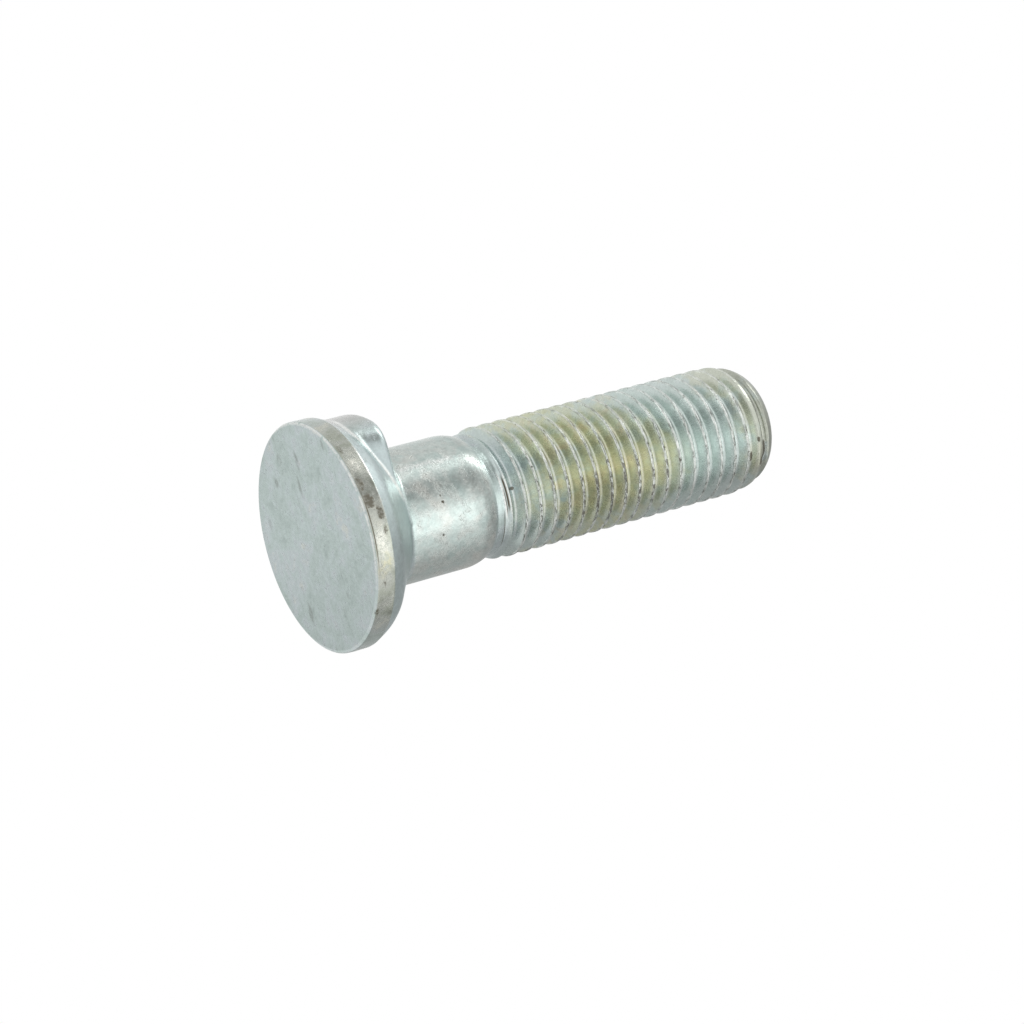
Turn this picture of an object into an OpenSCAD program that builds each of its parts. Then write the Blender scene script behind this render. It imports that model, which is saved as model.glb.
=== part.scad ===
// Plough bolt: flat countersunk head with one wide nib, plain shank, rolled coarse thread.
// It stands on the flat face of its head, its axis runs up +Z and the nib points to -Y.

/* [Head] */
// Diameter of the head over its rim
head_d = 33.4; // [32:0.1:36]
// Height of the straight band of the rim
rim_h = 2.8; // [1.5:0.1:5]
// Rounding of the edge round the flat face
face_edge_r = 0.35; // [0.1:0.05:1]
// Height of the steep bevel between the rim and the cone
bevel_h = 2.5; // [1:0.1:3.5]
// How far the bevel draws in from the rim
bevel_drop = 1.2; // [0.6:0.1:2]
// Rounding of the bevel's two edges
bevel_edge_r = 0.5; // [0.1:0.1:1]
// Angle between the cone and the axis
cone_angle = 49.5; // [40:0.5:55]
// Fillet between the cone and the shank
seat_fillet_r = 1.1; // [0.5:0.1:4]

/* [Nib] */
// Width of the nib across its two flat sides
nib_w = 19.8; // [16:0.1:20]
// Distance from the axis to the outer face of the nib
nib_reach = 15.9; // [14.5:0.1:16]
// How far the rear face of the nib stands past the end of the cone
nib_rise = 0.25; // [0:0.05:1.5]
// Rounding of the nib's two long outer corners
nib_corner_r = 4.8; // [2:0.1:6]
// Rounding of the nib's rear edges
nib_edge_r = 1.4; // [0.4:0.1:1.6]

/* [Shank] */
// Diameter of the plain shank
shank_d = 19.7; // [19.2:0.1:20.4]
// Height at which the plain shank ends, from the flat face
shank_end = 22; // [18:0.5:30]
// Radius of the rounded step from the shank down to the neck
blend_r = 6.8; // [3:0.1:10]
// How far the neck, which is the bar before the thread is rolled, lies under the shank
neck_drop = 0.7; // [0.3:0.05:0.9]
// Length of the plain neck before the thread starts
neck_len = 0.6; // [0.5:0.1:4]

/* [Thread] */
// Diameter over the crests of the thread
thread_d = 19.7; // [19.4:0.1:20]
// Distance from one crest to the next
pitch = 2.5; // [2:0.1:3]
// Depth of the thread from crest to root
thread_depth = 1.45; // [1.2:0.05:1.6]
// Share of the pitch that the flat of the crest takes
crest_share = 0.12; // [0.1:0.01:0.2]
// Turns over which the thread grows from the bar to its full depth
runout_turns = 1.25; // [1:0.25:3]
// Side on which the thread starts, as an angle about the axis
start_angle = 180; // [0:15:345]

/* [Point] */
// Length of the whole bolt
bolt_len = 75.7; // [60:0.1:100]
// Diameter of the flat end
point_d = 13.8; // [12:0.1:15]
// Length of the rounded point
point_h = 6.5; // [2:0.1:8]

/* [Detail] */
// Steps in each rounded edge
arc_steps = 6; // [4:1:10]
// Flats in one turn of the thread
turn_steps = 24; // [18:2:30]

/* [Hidden] */
$fn = 96;

head_r = head_d / 2;
shank_r = shank_d / 2;
neck_r = shank_r - neck_drop;
crest_r = thread_d / 2;
root_r = crest_r - thread_depth;
point_r = point_d / 2;

// Where the bevel meets the cone, and where the cone meets the shank
bevel_r = head_r - bevel_drop;
bevel_z = rim_h + bevel_h;
seat_z = bevel_z + (bevel_r - shank_r) / tan(cone_angle);

// Where the rounded step reaches the neck, and where the thread starts
blend_turn = acos(1 - neck_drop / blend_r);
neck_z = shank_end + blend_r * sin(blend_turn);
thread_z = neck_z + neck_len;

nib_base_z = rim_h / 2;
nib_end_z = seat_z + nib_rise;

// The thread's own solid starts one turn down, a hair thinner than the bar that hides it
hidden_turns = 1;
hidden_gap = 0.04;
start_r = neck_r - hidden_gap;
thread_turns = ceil((bolt_len - thread_z) / pitch) + hidden_turns + 1;
thread_base_z = thread_z - hidden_turns * pitch;

// One pitch of the thread: share of the pitch, and radius at full depth
root_share = 0.3;
root_round = 0.07 * pitch;
THREAD_SECTION = [
    [-crest_share / 2, crest_r],
    [crest_share / 2, crest_r],
    [0.5 - root_share / 2, root_r + root_round],
    [0.5, root_r],
    [0.5 + root_share / 2, root_r + root_round]
];

zinc = [0.66, 0.71, 0.73];

// Unit vector from one point to another
function toward(a, b) = (b - a) / norm(b - a);

// Points of an arc about a centre, from one step of it to another
function arc(centre, r, from, to, first = 0, last = arc_steps) =
    [for (i = [first:last]) let (t = from + (to - from) * i / arc_steps)
        centre + r * [cos(t), sin(t)]];

// Points that round a corner, tangent to both of its sides
function rounded(before, corner, after, r) =
    let (u = toward(corner, before), v = toward(corner, after),
         half = acos(u * v) / 2,
         centre = corner + (u + v) / norm(u + v) * r / sin(half),
         p = corner + u * r / tan(half) - centre,
         q = corner + v * r / tan(half) - centre,
         from = atan2(p[1], p[0]),
         turn = atan2(p[0] * q[1] - p[1] * q[0], p * q))
    arc(centre, r, from, from + turn);

// Radius of the rounded point at a height, level with the crests below it
function point_radius(z) =
    let (s = min(1, max(0, (z - bolt_len + point_h) / point_h)))
    point_r + (crest_r - point_r) * sqrt(1 - s * s);

// How far the thread has grown, from none to its full depth
function growth(turn) =
    let (s = min(1, max(0, (turn - hidden_turns) / runout_turns)))
    s * s * (3 - 2 * s);

// Head, shank and neck are turned in one piece
module turned_blank() {
    face = [0, 0];
    face_edge = [head_r, 0];
    rim_back = [head_r, rim_h];
    bevel_top = [bevel_r, bevel_z];
    seat = [shank_r, seat_z];
    shank_top = [shank_r, shank_end];
    rotate_extrude()
        polygon(concat(
            [face],
            rounded(face, face_edge, rim_back, face_edge_r),
            rounded(face_edge, rim_back, bevel_top, bevel_edge_r),
            rounded(rim_back, bevel_top, seat, bevel_edge_r),
            rounded(bevel_top, seat, shank_top, seat_fillet_r),
            arc([shank_r - blend_r, shank_end], blend_r, 0, blend_turn),
            [[neck_r, thread_z], [0, thread_z]]
        ));
}

// Outline of the nib square to the axis, drawn in from its full size
function nib_outline(inset) =
    let (half_w = nib_w / 2,
         corner_x = half_w - nib_corner_r,
         corner_y = sqrt(pow(nib_reach - nib_corner_r, 2) - pow(corner_x, 2)),
         lean = atan2(corner_y, corner_x),
         corner_r = nib_corner_r - inset)
    concat(
        [[half_w - inset, 0]],
        arc([corner_x, corner_y], corner_r, 0, lean),
        arc([0, 0], nib_reach - inset, lean, 180 - lean, 1, arc_steps - 1),
        arc([-corner_x, corner_y], corner_r, 180 - lean, 180),
        [[inset - half_w, 0]]
    );

// Closed skin through outlines of the same number of points, one above the other
module loft(outlines, heights) {
    n = len(outlines[0]);
    top = len(outlines) - 1;
    sides = [for (i = [0:top - 1], j = [0:n - 1])
        let (a = i * n + j, b = i * n + (j + 1) % n)
        each [[a, a + n, b], [b, a + n, b + n]]];
    base_cap = [[for (j = [0:n - 1]) j]];
    top_cap = [[for (j = [n - 1:-1:0]) top * n + j]];
    polyhedron(
        [for (i = [0:top], p = outlines[i]) [p[0], p[1], heights[i]]],
        concat(sides, base_cap, top_cap));
}

// The nib is a key on the cone, flat at its sides and round over its back
module nib() {
    lifts = [for (i = [0:arc_steps]) 90 * i / arc_steps];
    outlines = concat([nib_outline(0)],
        [for (lift = lifts) nib_outline(nib_edge_r * (1 - cos(lift)))]);
    heights = concat([nib_base_z],
        [for (lift = lifts) nib_end_z - nib_edge_r * (1 - sin(lift))]);
    rotate(180) loft(outlines, heights);
}

// Point of the thread's skin, at a step along the helix and a place in its section
function thread_point(step, place) =
    let (turn = step / turn_steps,
         z = thread_base_z + pitch * (turn + THREAD_SECTION[place][0]),
         grown = start_r + growth(turn) * (THREAD_SECTION[place][1] - start_r),
         r = min(grown, point_radius(z)),
         angle = 360 * turn)
    [r * cos(angle), r * sin(angle), z];

// Right-hand thread: one skin that follows the helix, closed at both ends to the axis
module thread() {
    places = len(THREAD_SECTION);
    steps = turn_steps * thread_turns;
    skin = [for (step = [0:steps], place = [0:places - 1]) thread_point(step, place)];
    base_centre = len(skin);
    top_centre = base_centre + 1;
    top_z = thread_base_z + pitch * (thread_turns + 1);
    ends = [[0, 0, thread_base_z - pitch], [0, 0, top_z]];

    function at(step, place) =
        place < places ? step * places + place : (step + turn_steps) * places;

    along = [for (step = [0:steps - 1], place = [0:places - 1])
        if (place < places - 1 || step + turn_steps < steps)
            each [[at(step, place), at(step, place + 1), at(step + 1, place)],
                  [at(step + 1, place), at(step, place + 1), at(step + 1, place + 1)]]];
    base_ramp = [for (step = [0:turn_steps - 1]) [base_centre, at(step, 0), at(step + 1, 0)]];
    base_step = [for (place = [0:places - 1]) [base_centre, at(0, place + 1), at(0, place)]];
    last = steps - turn_steps;
    top_ramp = [for (step = [last:steps - 1])
        [top_centre, at(step + 1, places - 1), at(step, places - 1)]];
    top_step = concat(
        [for (place = [0:places - 2]) [top_centre, at(steps, place), at(steps, place + 1)]],
        [[top_centre, at(last, places - 1), at(steps, 0)]]);

    intersection() {
        rotate(start_angle)
            polyhedron(concat(skin, ends),
                concat(along, base_ramp, base_step, top_ramp, top_step));
        cylinder(h = bolt_len, r = head_r);
    }
}

module plough_bolt() {
    color(zinc)
        union() {
            turned_blank();
            nib();
            thread();
        }
}

plough_bolt();
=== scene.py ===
import math

import bmesh
import bpy
import numpy as np
from mathutils import Euler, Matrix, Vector, noise


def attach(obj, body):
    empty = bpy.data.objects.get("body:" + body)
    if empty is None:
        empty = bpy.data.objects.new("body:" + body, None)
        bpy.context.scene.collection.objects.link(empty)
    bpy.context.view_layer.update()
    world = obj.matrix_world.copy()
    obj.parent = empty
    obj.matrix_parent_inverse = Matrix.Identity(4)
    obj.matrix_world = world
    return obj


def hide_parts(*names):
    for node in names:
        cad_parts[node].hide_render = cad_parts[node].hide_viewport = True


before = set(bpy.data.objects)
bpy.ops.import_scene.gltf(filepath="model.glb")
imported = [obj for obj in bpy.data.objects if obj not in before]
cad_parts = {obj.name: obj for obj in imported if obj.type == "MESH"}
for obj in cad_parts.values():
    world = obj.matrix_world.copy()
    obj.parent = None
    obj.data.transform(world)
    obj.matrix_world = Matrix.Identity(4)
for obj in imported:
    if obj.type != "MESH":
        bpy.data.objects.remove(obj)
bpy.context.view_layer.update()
scene = bpy.context.scene
scene.view_settings.view_transform = "Standard"
mm = 0.001  # all sizes below are in millimetres and end up in metres


# Camera, at the angle the photograph was taken from.
# The bolt stands on its head here and lies in the photograph, so the camera looks up past the head's face.
cameraView = {
    "place": (404.9, 8.44, -203.76),
    "turn": (155.6807, -56.4634, 29.1305),  # degrees, XYZ
    "lens": 112.54,
    "sensor": 36.0,
}


def placeCamera(view):
    data = bpy.data.cameras.new("photoCamera")
    data.lens = view["lens"]
    data.sensor_width = view["sensor"]
    data.clip_start = 0.01
    data.clip_end = 20.0
    camera = bpy.data.objects.new("photoCamera", data)
    camera.location = Vector(view["place"]) * mm
    camera.rotation_euler = Euler([math.radians(a) for a in view["turn"]], "XYZ")
    scene.collection.objects.link(camera)
    scene.camera = camera
    print("camera placed")


placeCamera(cameraView)


# The forged head.
forgedHead = {
    "rimRadius": 16.7,
    "rimHeight": 3.0,
    "faceEdge": 0.35,      # rounding of the edge round the face
    "rimEdge": 0.5,        # rounding of the rim's back edge
    "bevelHeight": 2.3,    # steep bevel between the rim and the cone
    "bevelDrop": 1.2,
    "bevelEdge": 6.0,      # soft turn from the bevel to the cone
    "coneAngle": 49.5,     # degrees between the cone and the axis
    "seatFillet": 1.1,
    "nibHalfWidth": 9.9,
    "nibReach": 15.9,
    "nibTop": 10.4,
    "nibCorner": 4.8,
    "nibEdge": 1.4,
    "nibFoot": 0.7,        # hollow fillet where the nib grows out of the cone
    "nibInner": 2.0,       # how far past the axis its hidden end lies
    "columns": 288,
    "rows": 124,
    "hub": (8.0, 6.0),     # radius and height that every half section is seen from
    "headTop": 12.6,       # height at which the plain shank takes over
    "faceRings": (1.0, 4.0, 8.0, 12.0, 15.0),
    "lastFaceRing": 0.12,  # how far inside the rounded edge the last of them lies
    # what forging left: the rim isn't quite round, it has a bulge, and its skin is wavy
    "oval": 0.17,          # how much farther the rim reaches towards the nib and away from it
    "flatSide": (215.0, 0.28),  # angle at which it falls short, and by how much
    "bulge": {"angle": 52.0, "height": 5.0, "amount": 0.3, "degreesWide": 14.0, "tall": 1.6},
    "slowWave": (0.16, 0.08),   # waves per millimetre and size
    "quickWave": (0.55, 0.03),
}
# how the skin of the head is found: along rays from the hub, in a table of distances
headSearch = {
    "rays": 400,
    "halvings": 26,
    "reach": (0.8, 11.5),  # nearest and farthest place of the skin on a ray
    "bendWeight": 0.9,     # how strongly points gather where a section bends
    "blur": 6,             # rays to each side that share in that
    "tableStep": 0.05,
    "tableRadii": (5.0, 19.0),
    "tableHeights": (-2.0, 16.0),
}

plainShank = {
    "radius": 9.85,
    "end": 22.0,
    "blend": 6.8,
    "neckRadius": 9.15,
    "rows": 12,
    "blendRows": 12,
    "top": 25.06,          # last ring before the thread's own skin
}


def arcPoints(centre, radius, fromDeg, toDeg, count):
    turn = np.radians(np.linspace(fromDeg, toDeg, count))
    return np.stack([centre[0] + radius * np.cos(turn), centre[1] + radius * np.sin(turn)], axis=1)


def roundedCorner(before, corner, after, radius, count=9):
    # points of an arc that is tangent to both sides of a corner
    before, corner, after = (np.array(p, float) for p in (before, corner, after))
    u, v = (corner - before) / np.hypot(*(corner - before)), (after - corner) / np.hypot(*(after - corner))
    half = math.acos(float(u @ v)) / 2
    centre = corner + (v - u) / np.hypot(*(v - u)) * radius / math.cos(half)
    first, last = corner - u * radius * math.tan(half) - centre, corner + v * radius * math.tan(half) - centre
    start = math.degrees(math.atan2(first[1], first[0]))
    sweep = math.degrees(math.atan2(first[0] * last[1] - first[1] * last[0], float(first @ last)))
    return arcPoints(centre, radius, start, start + sweep, count)


def turnedOutline(size):
    # outer line of the turned head as (radius, height), from the face's edge up the shank
    rim, shank = size["rimRadius"], plainShank["radius"]
    bevel = (rim - size["bevelDrop"], size["rimHeight"] + size["bevelHeight"])
    seatZ = bevel[1] + (bevel[0] - shank) / math.tan(math.radians(size["coneAngle"]))
    line = [(0, 0), (rim, 0), (rim, size["rimHeight"]), bevel, (shank, seatZ), (shank, plainShank["end"])]
    radii = [size["faceEdge"], size["rimEdge"], size["bevelEdge"], size["seatFillet"]]
    parts = [roundedCorner(*line[i:i + 3], r) for i, r in enumerate(radii)]
    return np.concatenate(parts + [np.array([line[-1]])])


def distanceToOutline(outline, r, z):
    # signed distance in the half plane, negative inside the steel
    best = np.full(r.shape, 1e9)
    starts = np.concatenate([[[0.0, 0.0]], outline[:-1]])
    for a, b in zip(starts, outline):
        along = b - a
        share = ((r - a[0]) * along[0] + (z - a[1]) * along[1]) / (along @ along)
        share = np.clip(share, 0, 1)
        best = np.minimum(best, np.hypot(r - a[0] - share * along[0], z - a[1] - share * along[1]))
    inside = (z > 0) & (r < np.interp(z, outline[:, 1], outline[:, 0]))
    return np.where(inside, -best, best)


def distanceTable(outline):
    step = headSearch["tableStep"]
    rs = np.arange(*headSearch["tableRadii"], step)
    zs = np.arange(*headSearch["tableHeights"], step)
    grid = distanceToOutline(outline, *np.meshgrid(rs, zs, indexing="ij"))

    def look(r, z):
        i = np.clip((r - rs[0]) / step, 0, len(rs) - 1.001)
        j = np.clip((z - zs[0]) / step, 0, len(zs) - 1.001)
        a, b = i.astype(int), j.astype(int)
        u, v = i - a, j - b
        low = grid[a, b] * (1 - v) + grid[a, b + 1] * v
        high = grid[a + 1, b] * (1 - v) + grid[a + 1, b + 1] * v
        return low * (1 - u) + high * u

    return look


def distanceToNib(size, x, y, z):
    # flat sides, round back, rounded long corners and rounded rear edge
    corner, edge = size["nibCorner"], size["nibEdge"]
    coreX = size["nibHalfWidth"] - corner
    coreR = size["nibReach"] - corner
    cornerY = math.sqrt(coreR ** 2 - coreX ** 2)
    ax, ay, r = np.abs(x), -y, np.hypot(x, y)
    side, back = ax - coreX, r - coreR
    atCorner = (ay > cornerY) & (np.arctan2(ay, ax) < math.atan2(cornerY, coreX)) & (side > 0)
    flat = np.where(atCorner, np.hypot(ax - coreX, ay - cornerY), np.maximum(side, back)) - corner
    flat = np.maximum(flat, -ay - size["nibInner"])
    top = z - size["nibTop"]
    u, v = flat + edge, top + edge
    return np.hypot(np.maximum(u, 0), np.maximum(v, 0)) + np.minimum(np.maximum(u, v), 0) - edge


def filletedUnion(a, b, radius):
    hollow = np.hypot(np.maximum(radius - a, 0), np.maximum(radius - b, 0))
    return np.maximum(radius, np.minimum(a, b)) - hollow


def headSections(size):
    # one half section per column, found along rays from the hub and then spread by its curvature
    look = distanceTable(turnedOutline(size))
    hubR, hubZ = size["hub"]
    first = math.atan2(-hubZ, size["rimRadius"] - size["faceEdge"] - hubR)
    last = math.atan2(size["headTop"] - hubZ, plainShank["radius"] - hubR)
    turns = 2 * np.pi * np.arange(size["columns"]) / size["columns"]
    rays = np.linspace(first, last, headSearch["rays"])
    turn, ray = np.meshgrid(turns, rays, indexing="ij")

    def steel(reach):
        r = hubR + reach * np.cos(ray)
        z = hubZ + reach * np.sin(ray)
        nib = distanceToNib(size, r * np.cos(turn), r * np.sin(turn), z)
        return filletedUnion(look(r, z), nib, size["nibFoot"])

    near, far = (np.full(turn.shape, reach) for reach in headSearch["reach"])
    for _ in range(headSearch["halvings"]):
        middle = (near + far) / 2
        inside = steel(middle) < 0
        near = np.where(inside, middle, near)
        far = np.where(inside, far, middle)
    reach = (near + far) / 2
    allR, allZ = hubR + reach * np.cos(ray), hubZ + reach * np.sin(ray)
    allR[:, 0], allZ[:, 0] = size["rimRadius"] - size["faceEdge"], 0.0
    allR[:, -1], allZ[:, -1] = plainShank["radius"], size["headTop"]

    sections = []
    blur = headSearch["blur"]
    window = np.ones(2 * blur + 1) / (2 * blur + 1)
    for r, z in zip(allR, allZ):
        dr, dz = np.diff(r), np.diff(z)
        bend = np.abs(np.diff(np.unwrap(np.arctan2(dz, dr))))
        weight = np.hypot(dr, dz)
        weight[1:] += headSearch["bendWeight"] * bend
        weight = np.convolve(np.pad(weight, blur, mode="edge"), window, mode="valid")
        path = np.concatenate([[0], np.cumsum(weight)])
        at = np.linspace(0, path[-1], size["rows"])
        sections.append(np.stack([np.interp(at, path, r), np.interp(at, path, z)], axis=1))
    print("head sections:", len(sections), "of", size["rows"], "points")
    return turns, np.array(sections)


def forgeWaviness(size, x, y, z):
    # none on the face and the shank
    point = Vector((x, y, z))
    fade = min(1.0, max(0.0, (z - 0.4) / 0.8)) * min(1.0, max(0.0, (12.0 - z) / 3.0))
    slowScale, slowSize = size["slowWave"]
    quickScale, quickSize = size["quickWave"]
    slow = noise.noise(point * slowScale + Vector((3.1, 7.7, 1.3)))
    quick = noise.noise(point * quickScale + Vector((9.2, 0.4, 5.5)))
    return fade * (slowSize * slow + quickSize * quick)


def outOfRound(size, turns, z):
    # the rim's own shape fades over the cone, and the bulge ends above the face
    flatAngle, flatAmount = size["flatSide"]
    flat = flatAmount * np.maximum(0, np.cos(turns - math.radians(flatAngle))) ** 2
    side = size["oval"] * np.sin(turns) ** 2 - flat
    bulge = size["bulge"]
    aside = (np.degrees(turns) - bulge["angle"]) / bulge["degreesWide"]
    above = (z - bulge["height"]) / bulge["tall"]
    swell = bulge["amount"] * np.exp(-aside ** 2 - above ** 2)
    return side * np.clip((7.0 - z) / 3.0, 0, 1) + swell * np.clip(z - 0.5, 0, 1)


def bodyRings(size, shank):
    # rings of (x, y, z), from the middle of the face to the neck
    turns, sections = headSections(size)
    cosines, sines = np.cos(turns), np.sin(turns)
    rings = []
    edge = size["rimRadius"] - size["faceEdge"]
    for r in (*size["faceRings"], edge - size["lastFaceRing"]):
        wide = r * (1 + outOfRound(size, turns, 0.0) / size["rimRadius"])
        rings.append(np.stack([wide * cosines, wide * sines, 0 * cosines], axis=1))
    for row in range(size["rows"]):
        r, z = sections[:, row, 0], sections[:, row, 1]
        ring = np.stack([r * cosines, r * sines, z], axis=1)
        push = np.array([forgeWaviness(size, *p) for p in ring]) + outOfRound(size, turns, z)
        ring[:, 0] += push * cosines
        ring[:, 1] += push * sines
        rings.append(ring)
    heights = list(np.linspace(size["headTop"], shank["end"], shank["rows"])[1:])
    radii = [shank["radius"]] * len(heights)
    blendTurn = math.acos(1 - (shank["radius"] - shank["neckRadius"]) / shank["blend"])
    for i in range(1, shank["blendRows"] + 1):
        turn = blendTurn * i / shank["blendRows"]
        heights.append(shank["end"] + shank["blend"] * math.sin(turn))
        radii.append(shank["radius"] - shank["blend"] * (1 - math.cos(turn)))
    heights.append(shank["top"])
    radii.append(shank["neckRadius"])
    for r, z in zip(radii, heights):
        rings.append(np.stack([r * cosines, r * sines, 0 * cosines + z], axis=1))
    return rings


# The rolled thread, a skin that follows the helix.
rolledThread = {
    "Steps per Turn": 96,
    "Turns": 22.0,
    "Start": 23.1,             # height of the helix at no turns
    "Start Turn": 0.5,         # side on which it starts, as a share of a turn
    "Pitch": 2.5,
    "Hidden Turns": 1.0,
    "Run-out Turns": 1.25,
    "Neck Radius": plainShank["neckRadius"],
    "Root Radius": 8.4,
    "Depth": 1.45,
    "Low": 25.3,               # the skin is cut level here and at the tip
    "Tip": 75.7,
    "Point Height": 6.5,
    "Point Radius": 6.9,
    "Unevenness": 0.07,
    "Wave Scale": 900.0,       # waves of the unevenness per metre
    "Seed": 4.0,
}
endSoftness = 0.1              # how softly the crests meet the rounded point
weldDistance = 0.002
# places across one pitch, root to root, and the height of the section at each
threadPlaces = [0.0, 0.06, 0.11, 0.16, 0.25, 0.35, 0.41, 0.43, 0.447, 0.465, 0.482, 0.5]
threadSection = [
    (0.0, 0.0), (0.06, 0.01), (0.11, 0.055), (0.16, 0.16), (0.41, 0.92), (0.43, 0.975),
    (0.447, 1.0), (0.465, 0.985), (0.482, 0.935), (0.5, 0.915),
]
wholeInputs = ("Steps per Turn",)
lengthInputs = ("Start", "Pitch", "Neck Radius", "Root Radius", "Depth", "Low", "Tip",
                "Point Height", "Point Radius", "Unevenness")


class TreeMaker:
    # small helper that keeps node trees readable
    def __init__(self, tree):
        self.tree = tree

    def add(self, kind, **values):
        node = self.tree.nodes.new(kind)
        for name, value in values.items():
            setattr(node, name, value)
        return node

    def feed(self, node, **sockets):
        for name, value in sockets.items():
            self.put(node.inputs[name.replace("_", " ")], value)
        return node

    def put(self, socket, value):
        if isinstance(value, bpy.types.NodeSocket):
            self.tree.links.new(value, socket)
        else:
            socket.default_value = value

    def math(self, operation, *values, clamp=False):
        node = self.add("ShaderNodeMath", operation=operation, use_clamp=clamp)
        for socket, value in zip(node.inputs, values):
            self.put(socket, value)
        return node.outputs[0]

    def vector(self, operation, *values):
        node = self.add("ShaderNodeVectorMath", operation=operation)
        for socket, value in zip(node.inputs, values):
            self.put(socket, value)
        return node.outputs[1] if operation in ("LENGTH", "DISTANCE", "DOT_PRODUCT") else node.outputs[0]

    def curve(self, value, points):
        node = self.add("ShaderNodeFloatCurve")
        line = node.mapping.curves[0]
        line.points[0].location = points[0]
        line.points[1].location = points[-1]
        for x, y in points[1:-1]:
            line.points.new(x, y)
        for point in line.points:
            point.handle_type = "VECTOR"
        node.mapping.update()
        self.put(node.inputs["Value"], value)
        return node.outputs[0]

    def smooth(self, value, low, high):
        # 0 at low, 1 at high, eased between them
        node = self.add("ShaderNodeMapRange", interpolation_type="SMOOTHSTEP")
        self.feed(node, Value=value, From_Min=low, From_Max=high, To_Min=0.0, To_Max=1.0)
        return node.outputs[0]

    def band(self, value, low, high, edge):
        # 1 between low and high
        rise = self.smooth(value, low - edge, low + edge)
        return self.math("MULTIPLY", rise, self.smooth(value, high + edge, high - edge))

    def joined(self, operation, values):
        result = values[0]
        for value in values[1:]:
            result = self.math(operation, result, value)
        return result

    def times(self, *values):
        return self.joined("MULTIPLY", values)

    def total(self, *values):
        return self.joined("ADD", values)

    def most(self, *values):
        return self.joined("MAXIMUM", values)

    def lessOn(self, mask, share):
        # 1 outside a mask and less by the share on it
        return self.math("MULTIPLY_ADD", mask, -share, 1.0)

    def noise(self, spot, scale, detail, rough, warp):
        node = self.add("ShaderNodeTexNoise")
        self.feed(node, Vector=spot, Scale=scale, Detail=detail, Roughness=rough, Distortion=warp)
        return node.outputs[0]

    def blot(self, spot, centre, radii, edge=0.7):
        # 1 in the middle of an ellipsoid, 0 outside it
        away = self.vector("DIVIDE", self.vector("SUBTRACT", spot, centre), radii)
        return self.smooth(self.vector("LENGTH", away), 1.0, 1.0 - edge)

    def mix(self, factor, a, b, blend="MIX"):
        node = self.add("ShaderNodeMix", data_type="RGBA", blend_type=blend)
        for socket, value in zip((node.inputs[0], node.inputs[6], node.inputs[7]), (factor, a, b)):
            self.put(socket, (*value, 1.0) if isinstance(value, tuple) and len(value) == 3 else value)
        return node.outputs[2]

    def blend(self, factor, a, b):
        # mix of two shaders
        node = self.add("ShaderNodeMixShader")
        for socket, value in zip(node.inputs, (factor, a, b)):
            self.put(socket, value)
        return node.outputs[0]

    def ramp(self, value, stops):
        node = self.add("ShaderNodeValToRGB")
        line = node.color_ramp
        line.interpolation = "EASE"
        for i, (place, tone) in enumerate(stops):
            stop = line.elements[i] if i < 2 else line.elements.new(place)
            stop.position, stop.color = place, (*tone, 1.0)
        self.put(node.inputs[0], value)
        return node.outputs[0]


def mirrored(points):
    return points + [(1 - x, y) for x, y in reversed(points[:-1])]


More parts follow.
